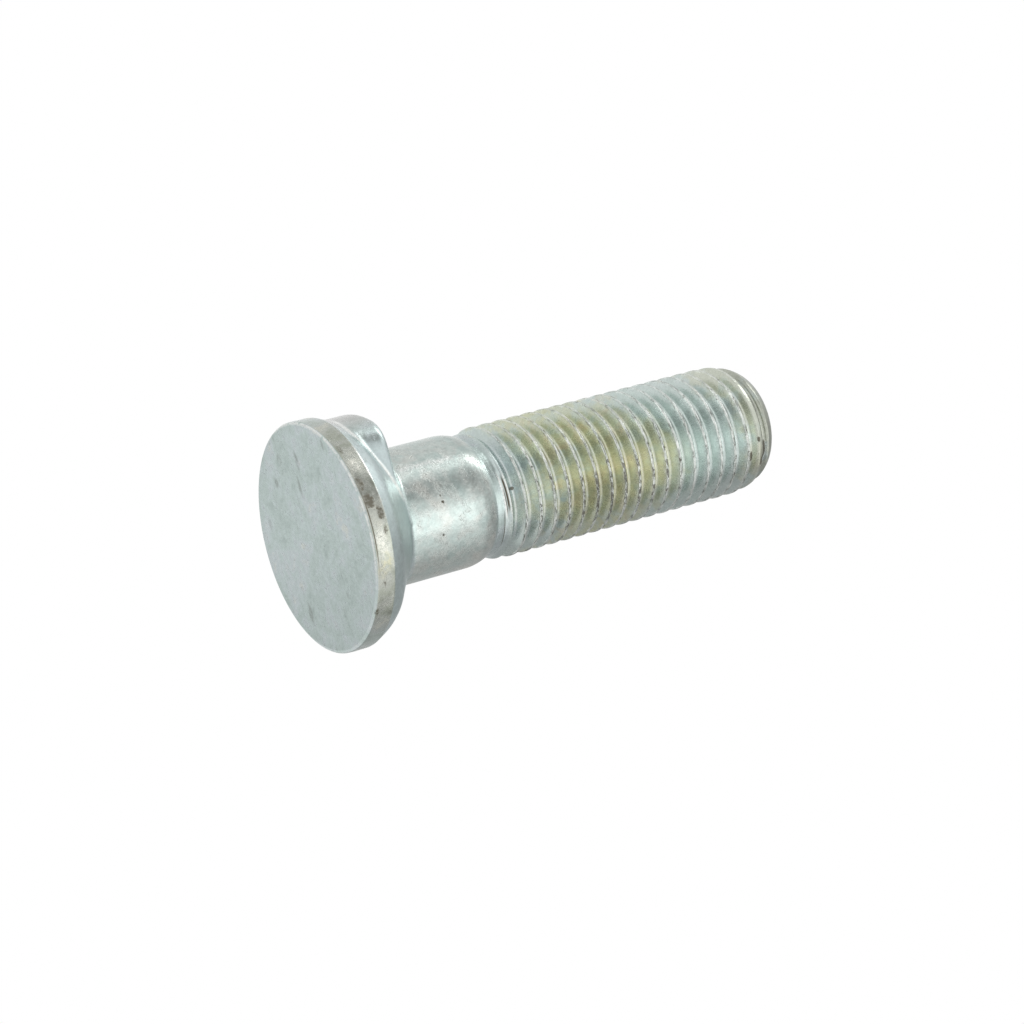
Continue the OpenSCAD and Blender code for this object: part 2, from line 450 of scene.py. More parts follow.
def threadTree():
    tree = bpy.data.node_groups.new("rolledThread", "GeometryNodeTree")
    tree.interface.new_socket("Geometry", in_out="INPUT", socket_type="NodeSocketGeometry")
    for name in rolledThread:
        kind = "NodeSocketInt" if name in wholeInputs else "NodeSocketFloat"
        tree.interface.new_socket(name, in_out="INPUT", socket_type=kind)
    tree.interface.new_socket("Material", in_out="INPUT", socket_type="NodeSocketMaterial")
    tree.interface.new_socket("Geometry", in_out="OUTPUT", socket_type="NodeSocketGeometry")
    make = TreeMaker(tree)
    given = make.add("NodeGroupInput").outputs

    places = mirrored([(x, 0.0) for x in threadPlaces])
    count = len(places)
    steps = make.math("MULTIPLY", given["Steps per Turn"], given["Turns"])
    grid = make.add("GeometryNodeMeshGrid")
    make.feed(grid, Size_X=1.0, Size_Y=1.0, Vertices_X=make.math("ADD", steps, 1.0), Vertices_Y=count)

    spot = make.add("ShaderNodeSeparateXYZ")
    make.put(spot.inputs[0], make.add("GeometryNodeInputPosition").outputs[0])
    turn = make.math("MULTIPLY", make.math("ADD", spot.outputs["X"], 0.5), given["Turns"])
    across = make.math("ADD", spot.outputs["Y"], 0.5)
    share = make.curve(across, [(i / (count - 1), x) for i, (x, _) in enumerate(places)])
    height = make.curve(share, mirrored(threadSection))

    rise = make.math("ADD", turn, make.math("SUBTRACT", share, 0.5))
    z = make.math("MULTIPLY_ADD", rise, given["Pitch"], given["Start"])
    z = make.math("MINIMUM", make.math("MAXIMUM", z, given["Low"]), given["Tip"])

    angle = make.math("MULTIPLY", make.math("ADD", turn, given["Start Turn"]), 2 * math.pi)
    cosine, sine = make.math("COSINE", angle), make.math("SINE", angle)

    # the thread grows out of the neck, and no two turns of it are quite the same
    section = make.math("MULTIPLY_ADD", height, given["Depth"], given["Root Radius"])
    grown = make.math("DIVIDE", make.math("SUBTRACT", rise, given["Hidden Turns"]), given["Run-out Turns"])
    ease = make.add("ShaderNodeMapRange", interpolation_type="SMOOTHSTEP")
    make.put(ease.inputs["Value"], grown)
    lift = make.math("MULTIPLY", make.math("SUBTRACT", section, given["Neck Radius"]), ease.outputs[0])
    radius = make.math("ADD", given["Neck Radius"], lift)
    onBar = make.add("ShaderNodeCombineXYZ")
    make.feed(onBar, X=make.math("MULTIPLY", cosine, radius), Y=make.math("MULTIPLY", sine, radius), Z=z)
    wobble = make.add("ShaderNodeTexNoise", noise_dimensions="4D")
    make.feed(wobble, Vector=onBar.outputs[0], W=given["Seed"], Scale=given["Wave Scale"], Detail=2.0)
    rough = make.math("MULTIPLY", make.math("SUBTRACT", wobble.outputs[0], 0.5), given["Unevenness"])
    rough = make.math("MULTIPLY", rough, make.math("MULTIPLY", height, ease.outputs[0]))
    radius = make.math("ADD", radius, rough)

    # the rounded point cuts it
    crest = make.math("ADD", given["Root Radius"], given["Depth"])
    pointStart = make.math("SUBTRACT", given["Tip"], given["Point Height"])
    s = make.math("DIVIDE", make.math("SUBTRACT", z, pointStart), given["Point Height"], clamp=True)
    bow = make.math("SQRT", make.math("SUBTRACT", 1.0, make.math("MULTIPLY", s, s)))
    pointR = make.math("MULTIPLY_ADD", make.math("SUBTRACT", crest, given["Point Radius"]), bow,
                       given["Point Radius"])
    radius = make.math("SMOOTH_MIN", radius, pointR, endSoftness * mm)

    place = make.add("ShaderNodeCombineXYZ")
    make.feed(place, X=make.math("MULTIPLY", cosine, radius), Y=make.math("MULTIPLY", sine, radius), Z=z)
    move = make.add("GeometryNodeSetPosition")
    make.feed(move, Geometry=grid.outputs["Mesh"], Position=place.outputs[0])
    weld = make.add("GeometryNodeMergeByDistance")
    make.feed(weld, Geometry=move.outputs[0], Distance=weldDistance * mm)
    smooth = make.add("GeometryNodeSetShadeSmooth")
    make.feed(smooth, Geometry=weld.outputs[0])
    real = make.add("GeometryNodeRealizeInstances")
    make.feed(real, Geometry=smooth.outputs[0])
    coat = make.add("GeometryNodeSetMaterial")
    make.feed(coat, Geometry=real.outputs[0], Material=given["Material"])
    make.put(make.add("NodeGroupOutput").inputs[0], coat.outputs[0])
    return tree


def threadMesh(material):
    holder = bpy.data.objects.new("threadSkin", bpy.data.meshes.new("threadSkin"))
    scene.collection.objects.link(holder)
    modifier = holder.modifiers.new("rolledThread", "NODES")
    modifier.node_group = threadTree()
    for item in modifier.node_group.interface.items_tree:
        if item.in_out != "INPUT" or item.name == "Geometry":
            continue
        if item.name == "Material":
            modifier[item.identifier] = material
        else:
            value = rolledThread[item.name]
            modifier[item.identifier] = value * mm if item.name in lengthInputs else value
    graph = bpy.context.evaluated_depsgraph_get()
    mesh = bpy.data.meshes.new_from_object(holder.evaluated_get(graph))
    holder.modifiers.remove(modifier)
    bpy.data.objects.remove(holder)
    print("thread skin:", len(mesh.polygons), "faces")
    return mesh


def ringAt(bm, z):
    # open ring of vertices at a height, in order of angle
    found = [v for v in bm.verts if v.is_boundary and abs(v.co.z - z) < 1e-6]
    return sorted(found, key=lambda v: math.atan2(v.co.y, v.co.x) % (2 * math.pi))


# Flat end with a slightly hollow middle, as a sheared bar has: share of its radius, and depth.
flatEnd = {"rings": [(0.94, 0.0), (0.72, 0.0), (0.6, 0.05), (0.3, 0.13)], "middle": 0.15}


def closeBody(bm, low):
    # head, shank and neck, joined to the lowest ring of the thread
    columns = forgedHead["columns"]
    rows = [[bm.verts.new(Vector(p) * mm) for p in ring] for ring in bodyRings(forgedHead, plainShank)]
    centre = bm.verts.new((0, 0, 0))
    for j in range(columns):
        k = (j + 1) % columns
        bm.faces.new((centre, rows[0][k], rows[0][j]))
        for under, over in zip(rows[:-1], rows[1:]):
            bm.faces.new((under[j], under[k], over[k], over[j]))

    # several columns of the neck meet each step of the thread
    last, each = rows[-1], columns // len(low)
    for i, vertex in enumerate(low):
        after = low[(i + 1) % len(low)]
        fine = [last[(i * each + n) % columns] for n in range(each + 1)]
        half = each // 2
        for n in range(each):
            bm.faces.new((fine[n], fine[n + 1], vertex if n < half else after))
        bm.faces.new((fine[half], after, vertex))


def closeEnd(bm, tip):
    previous = tip
    for share, depth in flatEnd["rings"]:
        ring = [bm.verts.new((v.co.x * share, v.co.y * share, v.co.z - depth * mm)) for v in tip]
        for j in range(len(tip)):
            k = (j + 1) % len(tip)
            bm.faces.new((previous[j], previous[k], ring[k], ring[j]))
        previous = ring
    middle = bm.verts.new((0, 0, (rolledThread["Tip"] - flatEnd["middle"]) * mm))
    for j in range(len(tip)):
        bm.faces.new((previous[j], previous[(j + 1) % len(tip)], middle))


def zincBolt(material):
    bm = bmesh.new()
    bm.from_mesh(threadMesh(material))
    low = ringAt(bm, rolledThread["Low"] * mm)
    tip = ringAt(bm, rolledThread["Tip"] * mm)
    print("open rings of the thread:", len(low), "and", len(tip))
    # a ring starts at angle 0, which rounding may have put at its end
    if abs(math.atan2(low[-1].co.y, low[-1].co.x)) < 1e-4:
        low = low[-1:] + low[:-1]
    closeBody(bm, low)
    closeEnd(bm, tip)

    openEdges = [e for e in bm.edges if not e.is_manifold]
    triangles = sum(len(face.verts) - 2 for face in bm.faces)
    print("open edges:", len(openEdges), "triangles:", triangles)
    for face in bm.faces:
        face.smooth = True
    mesh = bpy.data.meshes.new("zincBolt")
    bm.to_mesh(mesh)
    bm.free()
    mesh.materials.clear()
    mesh.materials.append(material)
    bolt = bpy.data.objects.new("zincBolt", mesh)
    scene.collection.objects.link(bolt)
    return bolt


# Zinc plating. Places are in millimetres on the bolt, turns about its axis in radians, tones are linear.
zincCoat = {
    "mottles": [(0.32, (0.47, 0.56, 0.535)), (0.44, (0.53, 0.625, 0.60)), (0.52, (0.56, 0.65, 0.64)),
                (0.60, (0.585, 0.655, 0.665)), (0.70, (0.645, 0.69, 0.655))],
    "cone": (0.53, 0.615, 0.615),
    "shankWarm": (0.635, 0.64, 0.59),
    # painted highlight: a bright streak along the shank
    "paintedShankHighlight": (1.0, 1.0, 0.98),
    "rimTones": [(0.34, (0.35, 0.36, 0.30)), (0.46, (0.44, 0.46, 0.39)), (0.56, (0.50, 0.515, 0.46)),
                 (0.68, (0.58, 0.585, 0.51))],
    "rimPale": (0.72, 0.72, 0.65),
    "rimOlive": (0.56, 0.54, 0.38),
    "nibTop": (0.56, 0.55, 0.53),
    # worn bright edge of the face, and painted highlights
    "brightEdge": (0.86, 0.88, 0.85),
    "dirtAndShade": (0.13, 0.115, 0.085),
    "sootAndShade": (0.27, 0.30, 0.28),
    # lines along the crests' folded lap, partly painted shade and highlight of the fold
    "crestLapShadeAndGlint": [(0.36, (0.20, 0.21, 0.19)), (0.45, (0.55, 0.58, 0.55)), (0.56, (0.76, 0.79, 0.76)),
                   (0.70, (0.90, 0.92, 0.90))],
    # tints of the thread from the neck to the point, and the heights they lie between
    "threadTints": [(0.0, (0.56, 0.63, 0.63)), (0.14, (0.55, 0.625, 0.60)), (0.24, (0.58, 0.615, 0.48)),
                    (0.37, (0.585, 0.605, 0.435)), (0.50, (0.58, 0.615, 0.49)), (0.62, (0.56, 0.64, 0.61)),
                    (0.85, (0.575, 0.64, 0.62)), (0.94, (0.58, 0.605, 0.52))],
    "tintHeights": (26.0, 76.0),
    "threadWarm": (0.62, 0.595, 0.43),
    "threadTeal": (0.55, 0.635, 0.60),
    "threadBrown": (0.64, 0.57, 0.42),
    "lightness": 1.03,
    "roughness": 0.25,
}
# parts of the bolt by height: lowest, highest and softness of both ends
partHeights = {
    "rim": (0.25, 3.0, 0.1),
    "cone": (3.1, 10.3, 0.2),
    "nib": (3.2, 10.8, 0.4),
    "shank": (10.8, 24.6, 0.4),
    "neck": (22.6, 26.2, 0.5),
}
# where parts fade in, from nothing to full
partEdges = {
    "faceHeight": (0.12, 0.04),
    "faceRadius": (16.5, 16.3),
    "rimRadius": (16.0, 16.3),
    "coneDepth": (-13.2, -10.5),   # along y, where the nib ends
    "nibDepth": (-9.5, -12.5),
    "threadHeight": (25.6, 27.2),
    "crestRadius": (9.62, 9.76),
    "crestHeight": (74.0, 71.5),
}
# noises: stretch of the bolt's axes, then scale per millimetre, detail, roughness and distortion
grains = {
    "broad": ((1.0, 1.0, 1.0), 0.17, 3.0, 0.5, 0.6),
    "middle": ((1.0, 1.0, 1.0), 0.55, 4.0, 0.6, 0.3),
    "small": ((1.0, 1.0, 1.0), 1.25, 3.0, 0.6, 0.4),
    "fine": ((1.0, 1.0, 1.0), 2.6, 3.0, 0.65, 0.0),
    "patches": ((1.0, 1.0, 1.0), 0.42, 2.0, 0.5, 0.4),
    "curls": ((1.0, 1.0, 1.0), 0.9, 2.0, 0.5, 1.2),
    "worn": ((1.0, 1.0, 2.0), 1.1, 3.0, 0.7, 0.0),
    "folds": ((0.7, 0.7, 5.0), 1.0, 3.0, 0.6, 0.0),
    "torn": ((2.2, 0.8, 1.0), 0.9, 4.0, 0.75, 0.0),
    "scratches": ((2.6, 0.22, 1.0), 1.0, 2.0, 0.6, 0.0),
    "turned": ((0.05, 0.05, 4.0), 1.0, 2.0, 0.6, 0.0),
}
# marks: place, radii, strength
faceStreaks = [((0.9, -11.2, 0.0), (0.7, 2.1, 1.0), 0.9), ((-0.3, -7.6, 0.0), (0.6, 2.2, 1.0), 0.8),
               ((-1.9, -5.0, 0.0), (0.5, 1.2, 1.0), 0.5),
               ((-7.1, -9.2, 0.0), (0.8, 1.1, 1.0), 0.9), ((9.7, -12.1, 0.0), (0.5, 1.3, 1.0), 0.8),
               ((-4.4, -12.2, 0.0), (0.8, 1.5, 1.0), 0.6), ((-7.7, 10.1, 0.0), (0.8, 2.1, 1.0), 1.0),
               ((5.0, 9.0, 0.0), (0.4, 0.7, 1.0), 0.5), ((-12.6, -4.0, 0.0), (0.7, 1.8, 1.0), 0.5)]
rimDirt = [((16.5, -2.8, 1.2), (1.0, 1.9, 1.3), 1.0), ((16.7, -0.7, 2.3), (1.0, 1.9, 0.9), 1.0),
           ((15.9, -5.8, 0.9), (1.0, 2.6, 0.9), 0.85), ((16.6, 1.6, 2.4), (0.6, 1.3, 0.6), 0.7),
           ((14.2, 8.8, 1.2), (0.9, 1.2, 0.8), 0.55), ((11.4, 12.2, 0.4), (0.9, 1.1, 0.6), 0.8),
           ((12.9, -10.6, 0.8), (1.0, 2.2, 0.7), 0.75)]
rimPale = [((14.7, -8.0, 1.4), (1.2, 1.7, 1.1), 1.0), ((16.4, 3.4, 1.5), (1.0, 3.4, 1.3), 0.8)]
rimOlive = [((15.6, 5.9, 1.8), (1.2, 2.4, 1.3), 0.8), ((15.2, 7.2, 1.0), (1.2, 1.6, 1.2), 0.6)]
# painted shade on the nib's side near its rounded corner
nibCornerShade = [((9.5, -11.9, 6.5), (1.4, 1.0, 1.3), 1.0), ((9.7, -11.3, 8.3), (1.3, 0.9, 1.5), 1.0)]
shankPits = [((9.85, -0.1, 16.0), (0.4, 0.30, 0.3), 1.0), ((9.75, -1.1, 15.9), (0.4, 0.2, 0.2), 0.8),
             ((8.8, 4.45, 15.3), (0.4, 0.25, 0.2), 0.8)]
threadDirt = [((7.0, 4.75, 73.33), (1.4, 2.9, 0.36), 1.3), ((7.2, 6.05, 72.5), (1.1, 1.5, 0.6), 1.1),
              ((9.0, 3.05, 71.67), (0.5, 0.7, 0.4), 0.7), ((6.6, 5.25, 71.03), (1.0, 1.7, 0.3), 1.0),
              ((3.7, 8.8, 71.1), (2.2, 1.2, 1.0), 0.7),
              ((9.3, 2.8, 54.6), (1.0, 0.8, 0.5), 0.6), ((8.44, 0.55, 28.25), (0.5, 0.4, 0.4), 1.0)]
threadWarmth = [((7.2, 5.0, 71.6), (2.5, 3.8, 1.7), 1.0)]
# painted shade on the middle of the thread
threadShade = [((8.3, 4.4, 42.0), (4.0, 4.0, 10.0), 0.22)]
# lines where the thread begins, painted shade in its grooves and painted highlights beside them: height at no
# turn, half width, first and last turn
runoutShade = [(26.70, 0.13, -0.15, 0.36), (26.42, 0.05, 0.05, 0.45), (25.95, 0.06, 0.42, 1.05),
              (27.32, 0.05, -0.05, 0.50)]
runoutHighlights = [(26.26, 0.13, -0.20, 0.50), (27.06, 0.15, -0.20, 0.50)]
# how strongly each kind of mark colours the zinc, as dirt or as soot (both also carry painted shade), and how
# deep it goes
dirtAndShadeShares = {"rimGrime": 0.85, "threadGrime": 0.85, "pits": 1.0, "rimLine": 0.9, "nicks": 0.75,
              "runoutShade": 1.0}
sootAndShadeShares = {"faceStreaks": 0.7, "scratches": 0.16, "squiggles": 0.35, "specks": 0.45, "border": 0.4,
              "nibCornerShade": 0.6}
markDepths = {"scratches": 0.01, "squiggles": 0.012, "nicks": 0.06, "pits": 0.12}
# painted shade on bands of the cone, the bevel, the taper and the shank: heights and turns with the softness
# of their ends, and how much
paintedShadeParts = [((3.2, 6.0, 0.6), (-0.95, -0.3, 0.2), 0.09), ((3.2, 5.4, 0.5), (0.1, 0.9, 0.2), 0.12),
               ((21.0, 24.4, 0.8), (-0.35, 0.5, 0.25), 0.26), ((11.0, 21.0, 1.0), (-0.25, 0.30, 0.2), 0.07)]


def blots(make, spot, marks):
    return make.most(*[make.times(make.blot(spot, place, radii), strength)
                       for place, radii, strength in marks])


def grain(make, spot, name):
    stretch, *values = grains[name]
    return make.noise(make.vector("MULTIPLY", spot, stretch), *values)


def shifted(make, value, *wobbles):
    # value plus noises about their middle, each with its strength
    for wave, strength in wobbles:
        value = make.math("MULTIPLY_ADD", make.math("SUBTRACT", wave, 0.5), strength, value)
    return value


class BoltSurface:
    # what every layer of the zinc reads: places on the bolt, noises and masks of its parts
    def __init__(self, make):
        coords = make.add("ShaderNodeTexCoord").outputs["Object"]
        self.spot = spot = make.vector("MULTIPLY", coords, (1 / mm, 1 / mm, 1 / mm))
        split = make.add("ShaderNodeSeparateXYZ")
        make.put(split.inputs[0], spot)
        x, y, z = split.outputs
        self.x, self.y, self.z = x, y, z
        self.radius = make.math("SQRT", make.total(make.times(x, x), make.times(y, y)))
        self.turn = make.math("ARCTAN2", y, x)
        # height less the rise of the helix, the same all along a crest
        self.level = make.math("MULTIPLY_ADD", self.turn, -rolledThread["Pitch"] / (2 * math.pi), z)

        self.broad, self.middle, self.small, self.fine = (
            grain(make, spot, name) for name in ("broad", "middle", "small", "fine"))

        within = {name: make.band(z, *heights) for name, heights in partHeights.items()}
        edge = partEdges
        self.face = make.times(make.smooth(z, *edge["faceHeight"]),
                               make.smooth(self.radius, *edge["faceRadius"]))
        self.rim = make.times(within["rim"], make.smooth(self.radius, *edge["rimRadius"]))
        self.cone = make.times(within["cone"], make.smooth(y, *edge["coneDepth"]))
        self.nib = make.times(within["nib"], make.smooth(y, *edge["nibDepth"]))
        self.shank, self.neck = within["shank"], within["neck"]
        self.thread = make.smooth(z, *edge["threadHeight"])
        unevenRadius = shifted(make, self.radius, (self.small, 0.35))
        self.crest = make.times(self.thread, make.smooth(unevenRadius, *edge["crestRadius"]),
                                make.smooth(z, *edge["crestHeight"]))


def nibFoot(make, at):
    # the line where the nib's side comes out of the cone, which carries a painted highlight
    size = forgedHead
    corner, coreX = size["nibCorner"], size["nibHalfWidth"] - size["nibCorner"]
    coreY = math.sqrt((size["nibReach"] - corner) ** 2 - coreX ** 2)
    u = make.math("MAXIMUM", make.math("SUBTRACT", make.math("ABSOLUTE", at.x), coreX), 0.0)
    v = make.math("MAXIMUM", make.math("SUBTRACT", make.times(at.y, -1.0), coreY), 0.0)
    aside = make.math("SUBTRACT", make.math("SQRT", make.total(make.times(u, u), make.times(v, v))), corner)
    slope = math.tan(math.radians(size["coneAngle"]))
    bevelTop = (size["rimRadius"] - size["bevelDrop"], size["rimHeight"] + size["bevelHeight"])
    cone = make.math("MULTIPLY_ADD", at.z, -slope, bevelTop[0] + bevelTop[1] * slope)
    above = make.math("SUBTRACT", at.radius, cone)
    return make.times(make.band(aside, -0.15, 0.5, 0.25), make.band(above, -0.4, 0.4, 0.25),
                      make.smooth(at.y, -1.0, -3.0), make.smooth(at.z, 3.6, 4.6))


def helixLines(make, at, lines):
    return make.most(*[make.times(make.band(at.level, height - half, height + half, 0.05),
                                  make.band(at.turn, low, high, 0.08))
                       for height, half, low, high in lines])


def raggedDirt(make, at, places, smallShare, fineShare, low, high):
    spots = blots(make, at.spot, places)
    ragged = make.smooth(shifted(make, spots, (at.small, smallShare), (at.fine, fineShare)), low, high)
    return make.times(ragged, make.smooth(spots, 0.0, 0.25))


def zincMarks(make, at):
    # masks of all marks, painted shade and painted highlights among them, 1 in a mark and 0 outside it
    spot, z, turn, radius = at.spot, at.z, at.turn, at.radius
    middle, small, fine = at.middle, at.small, at.fine
    marks = {
        "rimGrime": raggedDirt(make, at, rimDirt, 1.3, 1.9, 0.34, 1.10),
        "threadGrime": raggedDirt(make, at, threadDirt, 0.7, 0.8, 0.22, 0.6),
        "pits": blots(make, spot, shankPits),
        "runoutShade": helixLines(make, at, runoutShade),
        # painted shade, mottled, near the nib's corner
        "nibCornerShade": make.times(blots(make, spot, nibCornerShade), make.smooth(fine, 0.25, 0.6)),
        "specks": make.times(make.smooth(fine, 0.66, 0.74), make.smooth(middle, 0.42, 0.54)),
        "rimPale": make.times(blots(make, spot, rimPale), make.smooth(fine, 0.35, 0.6)),
        "rimOlive": make.times(blots(make, spot, rimOlive), make.smooth(small, 0.35, 0.6), 0.8),
    }

    # nicks in the crests, most of them on one side
    sideAway = make.math("ABSOLUTE", make.math("SUBTRACT", turn, 0.50))
    side = make.times(make.smooth(sideAway, 0.7, 0.2),
                      make.math("MULTIPLY_ADD", make.band(z, 36.0, 54.0, 6.0), 0.13, 0.05))
    worn = make.total(grain(make, spot, "worn"), side)
    marks["nicks"] = make.times(at.crest, make.smooth(worn, 0.64, 0.71))

    # a dark line near the rim's front edge, and a stained border of the face
    marks["rimLine"] = make.times(make.band(z, 0.40, 0.58, 0.08), make.smooth(radius, 16.2, 16.4),
                                  make.band(turn, -0.25, 0.36, 0.2), make.smooth(fine, 0.2, 0.4))
    marks["border"] = make.times(at.face, make.smooth(radius, 14.6, 16.2), make.smooth(small, 0.50, 0.66),
                                 make.smooth(at.x, 4.0, -3.0))

    torn = make.smooth(grain(make, spot, "torn"), 0.36, 0.54)
    marks["faceStreaks"] = make.times(blots(make, spot, faceStreaks), torn)
    marks["scratches"] = make.times(at.face, make.smooth(grain(make, spot, "scratches"), 0.62, 0.70))
    # squiggles follow the places where a noise crosses its middle
    fromMiddle = make.math("ABSOLUTE", make.math("SUBTRACT", grain(make, spot, "curls"), 0.5))
    marks["squiggles"] = make.times(make.smooth(fromMiddle, 0.022, 0.006), make.smooth(middle, 0.50, 0.60),
                                    make.lessOn(at.thread, 1.0))
    # painted highlight: a bright streak along one side of the shank
    marks["paintedShankHighlight"] = make.times(make.band(turn, -0.70, -0.62, 0.05), make.band(z, 11.2, 20.6, 0.8),
                                      make.smooth(fine, 0.34, 0.58), 0.45)

    # a worn bright line at the face's edge, and painted highlights on the rim's back edge, at the nib's foot
    # and where the thread begins
    faceEdge = make.times(make.band(z, 0.0, 0.16, 0.05), make.smooth(radius, 16.3, 16.42),
                          make.lessOn(make.smooth(turn, 0.1, 0.6), 0.8))
    backEdgeHighlight = make.times(make.band(z, 2.85, 3.1, 0.08), make.band(turn, -0.72, -0.20, 0.12), 0.9)
    marks["bright"] = make.most(
        make.times(make.most(faceEdge, backEdgeHighlight), make.smooth(middle, 0.34, 0.5), 0.9),
        make.times(nibFoot(make, at), make.smooth(fine, 0.2, 0.5)),
        make.times(helixLines(make, at, runoutHighlights), make.smooth(fine, 0.3, 0.5)))
    return marks


def bodyTone(make, at):
    # mottled zinc, with tones of its own on the cone, the shank, the rim and the top of the nib
    mottle = shifted(make, 0.0, (at.broad, 0.75), (at.middle, 0.55))
    patch = make.math("MULTIPLY_ADD", mottle, make.lessOn(at.shank, 0.5), 0.5)
    tone = make.ramp(patch, zincCoat["mottles"])
    tone = make.mix(make.times(at.cone, 0.75), tone, zincCoat["cone"])
    tone = make.mix(make.times(at.shank, make.smooth(patch, 0.38, 0.6), 0.8), tone, zincCoat["shankWarm"])
    nearNib = make.times(make.smooth(at.turn, 1.25, 0.8), make.smooth(at.turn, -1.3, -0.9))
    stained = make.times(at.rim, make.math("MULTIPLY_ADD", nearNib, 0.6, 0.3))
    tone = make.mix(stained, tone, make.ramp(patch, zincCoat["rimTones"]))
    return make.mix(make.times(at.nib, make.smooth(at.y, -12.0, -15.6), 0.8), tone, zincCoat["nibTop"])


def threadTone(make, at, tone):
    # the thread's tint runs through the colours of passivation, a little askew and across each turn
    low, high = zincCoat["tintHeights"]
    along = make.math("DIVIDE", make.math("SUBTRACT", at.z, low), high - low)
    along = make.math("MULTIPLY_ADD", make.smooth(at.y, 1.0, -9.0), 0.09, along)
    inTurn = make.math("MULTIPLY_ADD", at.level, 2 * math.pi / rolledThread["Pitch"], 1.2)
    along = make.math("MULTIPLY_ADD", make.math("COSINE", inTurn), 0.04, along)
    tints = make.ramp(shifted(make, along, (at.broad, 0.40), (at.middle, 0.22)), zincCoat["threadTints"])
    tone = make.mix(make.times(at.thread, 0.95), tone, tints)

    patches = grain(make, at.spot, "patches")
    teal = make.times(at.thread, make.smooth(patches, 0.52, 0.66), 0.5)
    tone = make.mix(teal, tone, zincCoat["threadTeal"])
    brown = make.times(make.band(at.z, 33.0, 52.0, 5.0), make.smooth(patches, 0.46, 0.34), 0.45)
    tone = make.mix(brown, tone, zincCoat["threadBrown"])
    warm = make.times(make.band(at.turn, -0.05, 0.75, 0.3), make.band(at.z, 28.5, 57.0, 4.0),
                      make.smooth(at.middle, 0.32, 0.55))
    warm = make.times(make.most(warm, blots(make, at.spot, threadWarmth)), 0.5)
    return make.mix(warm, tone, zincCoat["threadWarm"])


def lightnessOf(make, at):
    # small variations all over, painted shade, and parts that are darker or lighter than the rest
    smallShare = make.math("MULTIPLY_ADD", at.shank, 0.2, 0.30)
    uneven = shifted(make, zincCoat["lightness"], (at.fine, 0.34), (at.small, smallShare), (at.middle, 0.16))
    # painted shade on the thread's middle, on a band of the rim where the lamp falls, and on the listed bands
    darker = make.most(blots(make, at.spot, threadShade),
                       make.times(at.rim, make.band(at.turn, -0.85, -0.4, 0.15), 0.08),
                       *[make.times(make.band(at.z, *heights), make.band(at.turn, *turns), amount)
                         for heights, turns, amount in paintedShadeParts])
    return make.total(uneven,
                      make.times(darker, -1.0),
                      # painted shade: the face darker towards +y
                      make.times(at.face, make.smooth(at.y, -4.0, 15.0), -0.13),
                      make.times(at.neck, -0.12),
                      make.times(make.smooth(at.z, 71.0, 73.5), -0.29),
                      make.times(make.smooth(at.z, 48.0, 58.0), 0.03),
                      # painted light: the thread lighter on its -y side
                      make.times(at.thread, make.smooth(at.y, -6.0, -9.0), 0.13),
                      make.times(at.rim, make.band(at.turn, 1.1, 2.2, 0.2), 0.07))


def reliefOf(make, at, marks, folds):
    # heights in millimetres
    uneven = make.times(make.total(at.fine, at.small), 0.018)
    calm = make.lessOn(make.most(at.cone, make.times(at.neck, 0.7)), 0.97)
    return make.total(make.times(uneven, calm),
                      make.times(at.neck, grain(make, at.spot, "turned"), 0.03),
                      make.times(at.crest, folds, 0.05),
                      *[make.times(marks[name], -depth) for name, depth in markDepths.items()])


def zincMaterial():
    material = bpy.data.materials.new("zincPlating")
    material.use_nodes = True
    make = TreeMaker(material.node_tree)
    shader = material.node_tree.nodes["Principled BSDF"]
    at = BoltSurface(make)
    marks = zincMarks(make, at)

    tone = threadTone(make, at, bodyTone(make, at))
    folds = grain(make, at.spot, "folds")
    # the crests' lap lines, dark and pale: partly painted shade and highlight
    crestShare = make.times(at.crest, make.math("MULTIPLY_ADD", make.smooth(at.y, -9.0, -3.0), 0.35, 0.5))
    tone = make.mix(crestShare, tone, make.ramp(folds, zincCoat["crestLapShadeAndGlint"]))
    # dirt, with painted shade in the run-out grooves; soot, with painted shade at the nib's corner
    dirtAndShade = make.most(*[make.times(marks[name], share) for name, share in dirtAndShadeShares.items()])
    sootAndShade = make.most(*[make.times(marks[name], share) for name, share in sootAndShadeShares.items()])
    layers = [(marks["rimPale"], "rimPale"), (marks["rimOlive"], "rimOlive"), (marks["bright"], "brightEdge"),
              (marks["paintedShankHighlight"], "paintedShankHighlight"), (sootAndShade, "sootAndShade"), (dirtAndShade, "dirtAndShade")]
    for mask, colour in layers:
        tone = make.mix(mask, tone, zincCoat[colour])
    grey = make.add("ShaderNodeCombineColor")
    lightness = lightnessOf(make, at)
    for socket in grey.inputs[:3]:
        make.put(socket, lightness)
    make.put(shader.inputs["Base Color"], make.mix(1.0, tone, grey.outputs[0], "MULTIPLY"))

    rough = shifted(make, zincCoat["roughness"], (at.middle, 0.22), (at.fine, 0.14))
    rough = make.math("MULTIPLY_ADD", dirtAndShade, 0.3, rough)
    make.put(shader.inputs["Roughness"], make.math("MULTIPLY_ADD", at.cone, 0.08, rough, clamp=True))
    shader.inputs["Metallic"].default_value = 1.0

    bump = make.add("ShaderNodeBump")
    make.feed(bump, Height=reliefOf(make, at, marks, folds), Distance=mm, Strength=1.0)
    make.put(shader.inputs["Normal"], bump.outputs[0])
    print("zinc ready:", len(material.node_tree.nodes), "nodes")
    return material


# Light and background.
studio = {
    "fill": 0.85,              # world light on matt surfaces
    "floorRadius": 0.5,
    "floorTone": 0.8,
    "floorInMetal": 0.80,      # tone of the floor where the zinc mirrors it
    "mirroredRadius": 0.06,    # how much of it the zinc mirrors
    "floorGap": 0.0001,        # how far it lies under the bolt
}
